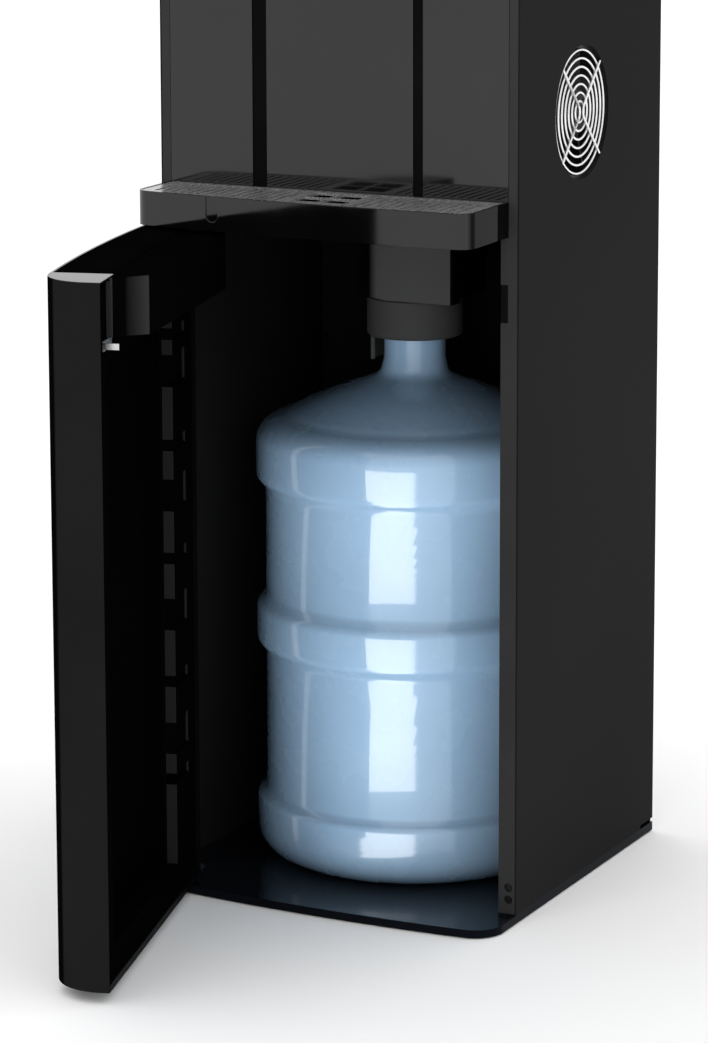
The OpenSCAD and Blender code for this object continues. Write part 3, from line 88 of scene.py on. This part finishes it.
bpy.context.scene.camera = photo_camera()
bpy.context.scene.view_settings.view_transform = "Standard"


# Node helpers
def new_material(name):
    """A material with its node tree and its principled shader."""
    mat = bpy.data.materials.new(name)
    mat.use_nodes = True
    return mat, *shader_of(mat)


def shader_of(mat):
    return mat.node_tree, mat.node_tree.nodes["Principled BSDF"]


def link(tree, source, target):
    tree.links.new(source, target)


def math_node(tree, operation, *values):
    node = tree.nodes.new("ShaderNodeMath")
    node.operation = operation
    for socket, value in zip(node.inputs, values):
        if isinstance(value, (int, float)):
            socket.default_value = value
        else:
            link(tree, value, socket)
    return node.outputs["Value"]


def coordinates(tree, kind):
    """Object or Normal coordinates in the piece's own frame."""
    return tree.nodes.new("ShaderNodeTexCoord").outputs[kind]


def noise(tree, scale, detail=4.0, rough=0.5, stretch=(1, 1, 1)):
    """Noise over the object's own coordinates; scale counts features a metre."""
    place = tree.nodes.new("ShaderNodeMapping")
    place.inputs["Scale"].default_value = stretch
    link(tree, coordinates(tree, "Object"), place.inputs["Vector"])
    tex = tree.nodes.new("ShaderNodeTexNoise")
    tex.inputs["Scale"].default_value = scale
    tex.inputs["Detail"].default_value = detail
    tex.inputs["Roughness"].default_value = rough
    link(tree, place.outputs["Vector"], tex.inputs["Vector"])
    return tex.outputs["Fac"]


# Noise stays mostly between these two values
NOISE_LOW, NOISE_HIGH = 0.35, 0.65


def ramp(tree, value, low, high, start=NOISE_LOW, end=NOISE_HIGH):
    """Goes from low at start to high at end, and stays level beyond them."""
    node = tree.nodes.new("ShaderNodeMapRange")
    node.inputs["From Min"].default_value = start
    node.inputs["From Max"].default_value = end
    node.inputs["To Min"].default_value = low
    node.inputs["To Max"].default_value = high
    link(tree, value, node.inputs["Value"])
    return node.outputs["Result"]


def mix_colour(tree, value, one, two):
    node = tree.nodes.new("ShaderNodeValToRGB")
    first, last = node.color_ramp.elements
    first.position, last.position = NOISE_LOW, NOISE_HIGH
    first.color, last.color = (*one, 1), (*two, 1)
    link(tree, value, node.inputs["Fac"])
    return node.outputs["Color"]


def bump(tree, shader, height, distance):
    node = tree.nodes.new("ShaderNodeBump")
    node.inputs["Strength"].default_value = 1.0
    node.inputs["Distance"].default_value = distance
    link(tree, height, node.inputs["Height"])
    link(tree, node.outputs["Normal"], shader.inputs["Normal"])


def along(tree, kind, direction):
    """The share of a coordinate that lies along a direction."""
    dot = tree.nodes.new("ShaderNodeVectorMath")
    dot.operation = "DOT_PRODUCT"
    dot.inputs[1].default_value = direction
    link(tree, coordinates(tree, kind), dot.inputs[0])
    return dot.outputs["Value"]


def faces_along(tree, direction, low, high):
    """1 on faces that look along the direction in the piece's own frame, else 0."""
    return ramp(tree, along(tree, "Normal", direction), 0.0, 1.0, low, high)


# Materials: how high the grain stands, and the grain, its height and the slow patches of two finishes
FINE = 0.03 * MM
FAINT = 0.01 * MM
GLOSS = {"grain": 24.0, "depth": FAINT, "patch": 4.0}
PAINT = {"grain": 1400.0, "depth": 0.008 * MM, "patch": 2.5}
PLASTIC_IOR = 1.5


def greys(dark, light):
    """Two colours without a hue."""
    return (dark,) * 3, (light,) * 3


def moulded(name, colours, rough, grain=1500.0, depth=FINE, patch=9.0, spec=0.5, metal=0.0):
    """Moulded or coated surface: slow colour and gloss patches and a fine grain."""
    mat, tree, shader = new_material(name)
    link(tree, mix_colour(tree, noise(tree, patch, 5.0, 0.55), *colours), shader.inputs["Base Color"])
    link(tree, ramp(tree, noise(tree, patch * 4.0, 6.0, 0.6), *rough), shader.inputs["Roughness"])
    shader.inputs["Specular IOR Level"].default_value = spec
    shader.inputs["IOR"].default_value = PLASTIC_IOR
    shader.inputs["Metallic"].default_value = metal
    bump(tree, shader, noise(tree, grain, 3.0, 0.6), depth)
    return mat


def metal(name, colours, rough, stretch=(1, 1, 1), grain=700.0, metallic=1.0):
    """Rolled or brushed metal, its streaks drawn out along one direction."""
    mat, tree, shader = new_material(name)
    streak = noise(tree, grain, 3.0, 0.6, stretch)
    link(tree, mix_colour(tree, streak, *colours), shader.inputs["Base Color"])
    link(tree, ramp(tree, streak, *rough), shader.inputs["Roughness"])
    shader.inputs["Metallic"].default_value = metallic
    bump(tree, shader, streak, FAINT)
    return mat


def bottle_plastic():
    """Blue plastic under a clear gloss, with slow waves in its wall."""
    mat, tree, shader = new_material("blue_bottle_plastic")
    blue = mix_colour(tree, noise(tree, 7.0), (0.19, 0.295, 0.42), (0.215, 0.33, 0.46))
    link(tree, blue, shader.inputs["Base Color"])
    link(tree, ramp(tree, noise(tree, 30.0), 0.22, 0.30), shader.inputs["Roughness"])
    shader.inputs["IOR"].default_value = 1.58
    shader.inputs["Specular IOR Level"].default_value = 0.2
    shader.inputs["Coat Weight"].default_value = 1.0
    shader.inputs["Coat Roughness"].default_value = 0.04
    bump(tree, shader, noise(tree, 14.0, 2.0), 0.06 * MM)
    return mat


# The materials of the record's slots
BY_SLOT = {
    "gloss_black": moulded("gloss_black_plastic", greys(0.004, 0.007), (0.05, 0.09), **GLOSS),
    "black_paint": moulded("satin_black_paint", greys(0.0115, 0.015), (0.30, 0.36), **PAINT, spec=0.004),
    "black_moulding": moulded("matt_black_moulding", greys(0.0018, 0.003), (0.42, 0.52), grain=1700.0,
                              spec=0.015),
    "black_plastic": moulded("satin_black_plastic", greys(0.008, 0.013), (0.35, 0.48), spec=0.25),
    "rubber": moulded("dark_rubber", greys(0.02, 0.035), (0.7, 0.85), grain=1200.0, depth=0.05 * MM),
    "black_screw": moulded("blackened_steel", greys(0.012, 0.02), (0.22, 0.34), grain=900.0, depth=FAINT,
                           metal=0.8),
    "zinc": metal("zinc_plated_steel", ((0.60, 0.61, 0.62), (0.74, 0.74, 0.73)), (0.25, 0.4), grain=160.0),
    "stainless": metal("stainless_steel", greys(0.62, 0.74), (0.2, 0.34), stretch=(1, 1, 0.05)),
    "bright_metal": metal("bright_plate", greys(0.78, 0.90), (0.16, 0.26), stretch=(1, 0.05, 1)),
    "aluminium": metal("extruded_aluminium", ((0.66, 0.67, 0.68), (0.78, 0.78, 0.79)), (0.3, 0.45),
                       stretch=(1, 1, 0.03)),
    "magnet": moulded("coated_magnet", greys(0.003, 0.005), (0.4, 0.5), spec=0.03),
    "brass": metal("brass_band", ((0.5, 0.38, 0.2), (0.62, 0.48, 0.27)), (0.25, 0.4), stretch=(0.1, 0.1, 1),
                   grain=300.0),
    "red_plastic": moulded("red_plastic", ((0.36, 0.02, 0.015), (0.42, 0.025, 0.02)), (0.28, 0.38)),
    "blue_plastic": moulded("blue_plastic", ((0.012, 0.07, 0.27), (0.016, 0.085, 0.32)), (0.28, 0.38)),
    "green_plastic": moulded("green_plastic", ((0.01, 0.16, 0.05), (0.014, 0.19, 0.06)), (0.28, 0.38)),
    "grey_plastic": moulded("light_grey_plastic", greys(0.26, 0.3), (0.28, 0.38)),
    "clear_lens": moulded("milky_lens", ((0.55, 0.56, 0.56), (0.62, 0.63, 0.63)), (0.1, 0.2), grain=400.0,
                          depth=FAINT),
    "ceramic": moulded("white_ceramic", ((0.7, 0.7, 0.68), (0.8, 0.8, 0.78)), (0.5, 0.6)),
    "foam": moulded("white_foam", ((0.68, 0.68, 0.66), (0.8, 0.8, 0.78)), (0.8, 0.95), grain=500.0,
                    depth=0.4 * MM, spec=0.2),
    "board": moulded("circuit_board", ((0.01, 0.07, 0.03), (0.015, 0.11, 0.045)), (0.3, 0.45), patch=60.0),
    "hose": moulded("silicone_hose", ((0.55, 0.55, 0.53), (0.66, 0.66, 0.64)), (0.25, 0.4)),
    "bush": moulded("white_acetal", ((0.62, 0.62, 0.6), (0.7, 0.7, 0.68)), (0.4, 0.5)),
    "bottle_plastic": bottle_plastic(),
}

# The door is drawn open; these point out of its front and along it to its free end
hinge = next(joint for joint in frame["joints"] if joint["name"] == "door_hinge")
DOOR_OPEN = -math.radians(hinge["range_deg"][0])
DOOR_OUT = (-math.sin(DOOR_OPEN), -math.cos(DOOR_OPEN), 0.0)
DOOR_ALONG = (math.cos(DOOR_OPEN), -math.sin(DOOR_OPEN), 0.0)
# The bench in the field of the liner lies in this plane when the door is closed
LINER_BENCH = -161 * MM
PLANE_BLUR = 0.4 * MM


def behind(tree, plane):
    """1 where the door, once closed, lies further back than the plane, which is a Y value, else 0."""
    start = hinge["pos_m"][1] + Vector(hinge["pos_m"]).dot(DOOR_OUT)
    closed_y = math_node(tree, "SUBTRACT", start, along(tree, "Object", DOOR_OUT))
    return ramp(tree, closed_y, 0.0, 1.0, plane - PLANE_BLUR, plane + PLANE_BLUR)


def painted_light_by_face(name, dark, edge, rough, direction, low, high, spec=0.03, plane=None):
    """Moulding painted paler on its faces along one direction and darker on the rest, as painted light and shade
    by face direction; with a plane, only the faces behind it are painted paler.
    """
    mat = moulded(name, greys(dark, dark), rough, depth=0.02 * MM, spec=spec)
    tree, shader = shader_of(mat)
    mask = faces_along(tree, direction, low, high)
    if plane is not None:
        mask = math_node(tree, "MULTIPLY", mask, behind(tree, plane))
    mix = tree.nodes.new("ShaderNodeMix")
    mix.data_type = "RGBA"
    link(tree, mask, mix.inputs["Factor"])
    link(tree, mix_colour(tree, noise(tree, 6.0), *greys(dark, 1.3 * dark)), mix.inputs["A"])
    link(tree, mix_colour(tree, noise(tree, 9.0), *greys(edge, 1.15 * edge)), mix.inputs["B"])
    link(tree, mix.outputs["Result"], shader.inputs["Base Color"])
    return mat


def door_black():
    """Glossy on the front and the top land of the door, satin on its edges, and its end faces painted paler than
    the rest as painted light.
    """
    mat = painted_light_by_face("door_black_plastic", 0.0016, 0.0115, (0.08, 0.13), DOOR_ALONG, 0.62, 0.68)
    tree, shader = shader_of(mat)
    front = faces_along(tree, DOOR_OUT, 0.95, 0.98)
    land = faces_along(tree, UP, 0.9, 0.95)
    glossy = math_node(tree, "MAXIMUM", front, land)
    link(tree, ramp(tree, glossy, 0.0, 0.5, 0.0, 1.0), shader.inputs["Specular IOR Level"])
    return mat


# Where the grooves of the dispensing panel start and end along X, in millimetres
GROOVES = ((-76.0, -63.2), (67.8, 76.4))


def panel_black():
    """Glossy but for the two grooves of the dispensing panel."""
    mat = moulded("panel_black_plastic", greys(0.004, 0.007), (0.05, 0.09), **GLOSS)
    tree, shader = shader_of(mat)
    across = along(tree, "Object", RIGHT)
    spans = [((a + b) / 2 * MM, (b - a) / 2 * MM) for a, b in GROOVES]
    groove = math_node(tree, "MAXIMUM", *[math_node(tree, "COMPARE", across, *span) for span in spans])
    link(tree, ramp(tree, groove, 0.5, 0.0, 0.0, 1.0), shader.inputs["Specular IOR Level"])
    return mat


def faced(mat, direction, low, high, elsewhere, there):
    """Gives a material one specular level on its faces along a direction and another elsewhere."""
    tree, shader = shader_of(mat)
    mask = faces_along(tree, direction, low, high)
    link(tree, ramp(tree, mask, elsewhere, there, 0.0, 1.0), shader.inputs["Specular IOR Level"])
    return mat


pillar_black = moulded("pillar_plastic", greys(0.032, 0.038), (0.4, 0.5), grain=1600.0, spec=0.05)
base_black = moulded("base_black_plastic", ((0.003, 0.004, 0.006), (0.005, 0.006, 0.009)), (0.10, 0.16),
                     **GLOSS)
tray_black = moulded("tray_black_plastic", greys(0.0015, 0.003), (0.05, 0.09), **GLOSS)

# The nodes whose material isn't the one of their slot
BY_NODE = {
    # painted light: the door's end faces are painted paler than the rest of the shell
    "door_shell": door_black(),
    # painted light: the liner's walls that face the free end, behind the bench, are painted paler than the rest
    "door_liner": painted_light_by_face("door_liner_plastic", 0.0012, 0.019, (0.4, 0.5), DOOR_ALONG, 0.75, 0.85, spec=0.0,
                           plane=LINER_BENCH),
    # painted light: the rail's faces towards the free end are painted paler than the rest
    "door_rail": painted_light_by_face("door_rail_plastic", 0.0012, 0.028, (0.4, 0.5), DOOR_ALONG, 0.79, 0.82, spec=0.0),
    "door_top_cap": moulded("door_cap_plastic", greys(0.0012, 0.002), (0.45, 0.55), grain=1600.0, spec=0.0),
    "dispensing_panel": panel_black(),
    "base_tray": faced(base_black, UP, 0.9, 0.98, 0.02, 0.4),
    "tray_grille": metal("brushed_grille_plate", greys(0.50, 0.60), (0.22, 0.34), stretch=(1, 0.05, 1),
                         metallic=0.7),
    # painted shade: the dock cover's faces other than its front are painted near black, its front paler
    "dock_cover": painted_light_by_face("dock_cover_plastic", 0.002, 0.10, (0.45, 0.55), FRONT, 0.94, 0.97, spec=0.02),
    "probe_cap": moulded("probe_cap_plastic", greys(0.08, 0.095), (0.6, 0.7), grain=1600.0, spec=0.05),
    "drip_tray": faced(tray_black, RIGHT, 0.75, 0.92, 0.5, 0.03),
    "left_pillar": pillar_black,
    "right_pillar": pillar_black,
    "rear_panel": moulded("rear_sheet_paint", greys(0.010, 0.014), (0.32, 0.4), **PAINT, spec=0.2),
}

# Pieces: an edge is shaded sharp, or is rounded, where its faces meet at more than these angles
SHARP_ANGLE = math.radians(32.0)
ROUND_ANGLE = math.radians(28.0)
ROUND_STEPS = 2
ROUND_PROFILE = 0.6
# Faces within this angle of each other share a normal at their corner
SHARED_ANGLE = math.radians(35.0)
# Faces within this angle are one flat face, and corners within this distance are one corner
FLAT_ANGLE = math.radians(0.6)
SAME_POINT = 0.002 * MM


def weighted(bm):
    """Corner normals weighted by face size, so that a flat face stays flat beside its rounded edges."""
    keep = math.cos(SHARED_ANGLE)
    area = {f: f.calc_area() for f in bm.faces}
    normals = []
    for face in bm.faces:
        own = face.normal
        for loop in face.loops:
            total = Vector((0.0, 0.0, 0.0))
            for near in loop.vert.link_faces:
                if near.normal.dot(own) > keep:
                    total += near.normal * area[near]
            normals.append(total.normalized() if total.length > 0 else own.copy())
    return normals


def rounded(bm, width):
    """Rounds every edge that is sharp enough."""
    edges = [e for e in bm.edges if len(e.link_faces) == 2 and e.calc_face_angle(0.0) > ROUND_ANGLE]
    if edges:
        bmesh.ops.bevel(bm, geom=edges, offset=width, offset_type="OFFSET", segments=ROUND_STEPS,
                        profile=ROUND_PROFILE, affect="EDGES", clamp_overlap=True)


def dressed(node, width):
    """The piece that stands for a CAD node, its faces merged and its edges rounded by a width in mm."""
    bm = bmesh.new()
    bm.from_mesh(frame["nodes"][node].data)
    bmesh.ops.remove_doubles(bm, verts=bm.verts, dist=SAME_POINT)
    if width:
        bmesh.ops.dissolve_limit(bm, angle_limit=FLAT_ANGLE, verts=bm.verts, edges=bm.edges)
        rounded(bm, width * MM)
    bmesh.ops.recalc_face_normals(bm, faces=bm.faces)
    bm.normal_update()
    normals = weighted(bm) if width else None
    mesh = bpy.data.meshes.new(node + "_surface")
    bm.to_mesh(mesh)
    bm.free()
    mesh.shade_smooth()
    mesh.set_sharp_from_angle(angle=SHARP_ANGLE)
    if normals:
        mesh.normals_split_custom_set(normals)
    mesh.materials.append(BY_NODE.get(node) or BY_SLOT[SLOT[node]])
    obj = bpy.data.objects.new(node + "_surface", mesh)
    bpy.context.scene.collection.objects.link(obj)
    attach(obj, BODY[node])
    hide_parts(node)


record = frame["record"]
SLOT = {part["node"]: part["material_slot"] for part in record["subparts"]}
BODY = {node: body for body, nodes in record["behaviour"]["bodies"].items() for node in nodes}

# How far the edges are rounded, in millimetres: wire, tube and blown forms are round as they are
EDGE = 0.4
EDGES = {
    "case_screws": 0.15, "rear_panel": 0.15, "heat_sink": 0.2, "peltier_module": 0.2, "hinge_bushes": 0.2,
    "tray_grille": 0.25, "left_side_panel": 0.3, "right_side_panel": 0.3, "door_catch": 0.3, "fan_rotor": 0.3,
    "control_deck": 0.5, "base_tray": 0.5, "fan_frame": 0.6, "drip_tray": 0.8, "door_liner": 0.8,
    "dock_cover": 0.8, "probe_cap": 0.8, "door_shell": 0.9, "head_shell": 0.9, "door_rail": 1.2,
    "top_cover": 1.5, "fan_guard": 0, "water_hoses": 0, "hot_spring": 0, "room_spring": 0, "cold_spring": 0,
    "suction_tube": 0, "bottle": 0,
}
for node in frame["nodes"]:
    dressed(node, EDGES.get(node, EDGE))

# Each spring gets a mesh of its own; the real springs shorten with their buttons
for kind in ("hot", "room", "cold"):
    spring = bpy.data.objects[kind + "_spring_surface"]
    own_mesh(spring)

# Floor, which runs this far from its middle to each side
FLOOR_REACH = 9.0
FLOOR_SQUARES = 40
FLOOR_WHITE = 0.97


def studio_floor():
    mesh = bpy.data.meshes.new("floor")
    bm = bmesh.new()
    bmesh.ops.create_grid(bm, x_segments=FLOOR_SQUARES, y_segments=FLOOR_SQUARES, size=FLOOR_REACH)
    bm.to_mesh(mesh)
    bm.free()
    mat, _, shader = new_material("floor_white")
    shader.inputs["Base Color"].default_value = (FLOOR_WHITE, FLOOR_WHITE, FLOOR_WHITE, 1)
    shader.inputs["Roughness"].default_value = 0.9
    shader.inputs["Specular IOR Level"].default_value = 0.0
    mesh.materials.append(mat)
    floor = bpy.data.objects.new("floor", mesh)
    bpy.context.scene.collection.objects.link(floor)
    return floor


floor_obj = studio_floor()

# Light from all round
ROOM_LIGHT = 1.2
ROOM_SEEN = 1.0


def background(tree, strength):
    node = tree.nodes.new("ShaderNodeBackground")
    node.inputs["Color"].default_value = (1, 1, 1, 1)
    node.inputs["Strength"].default_value = strength
    return node.outputs["Background"]


def studio_world():
    """White all round, brighter as a light than where it is seen or mirrored."""
    world = bpy.data.worlds.new("studio")
    world.use_nodes = True
    tree = world.node_tree
    tree.nodes.remove(tree.nodes["Background"])
    ray = tree.nodes.new("ShaderNodeLightPath").outputs
    seen = math_node(tree, "MAXIMUM", ray["Is Camera Ray"], ray["Is Glossy Ray"])
    seen = math_node(tree, "MAXIMUM", seen, ray["Is Transmission Ray"])
    pick = tree.nodes.new("ShaderNodeMixShader")
    link(tree, seen, pick.inputs["Fac"])
    link(tree, background(tree, ROOM_LIGHT), pick.inputs[1])
    link(tree, background(tree, ROOM_SEEN), pick.inputs[2])
    link(tree, pick.outputs["Shader"], tree.nodes["World Output"].inputs["Surface"])
    return world


bpy.context.scene.world = studio_world()

# Glowing boards on the floor in front, which light only the bottle and give it its upright band
BAND = math.radians(5.5)
BAND_SPREAD = math.tan(math.radians(19.7))
BOTTLE_R = 0.135
BOARD_GLOW = 6.3
BOARD_STEP = 1.2
BOARD_LIFT = 3 * MM
BOARDS_FROM, BOARDS_TO = 0.2, 6.0


def floor_board(near, far):
    """One board from near to far, wide enough there to mirror as a part of the band."""
    middle = (near + far) / 2
    width = BAND_SPREAD * (2 * middle - BOTTLE_R)
    aside = BAND_SPREAD * BOTTLE_R / 2
    data = bpy.data.lights.new("floor_board", "AREA")
    data.shape = "RECTANGLE"
    data.size, data.size_y = width, far - near
    data.energy = BOARD_GLOW * math.pi * width * (far - near)
    board = bpy.data.objects.new("floor_board", data)
    bpy.context.scene.collection.objects.link(board)
    board.location = (middle * math.sin(BAND) + aside, -middle * math.cos(BAND), BOARD_LIFT)
    board.rotation_euler = (math.pi, 0.0, BAND)
    board.visible_camera = False
    board.light_linking.receiver_collection = lit


lit = bpy.data.collections.new("lit_by_boards")
lit.objects.link(bpy.data.objects["bottle_surface"])
near = BOARDS_FROM
while near < BOARDS_TO:
    floor_board(near, near * BOARD_STEP)
    near *= BOARD_STEP
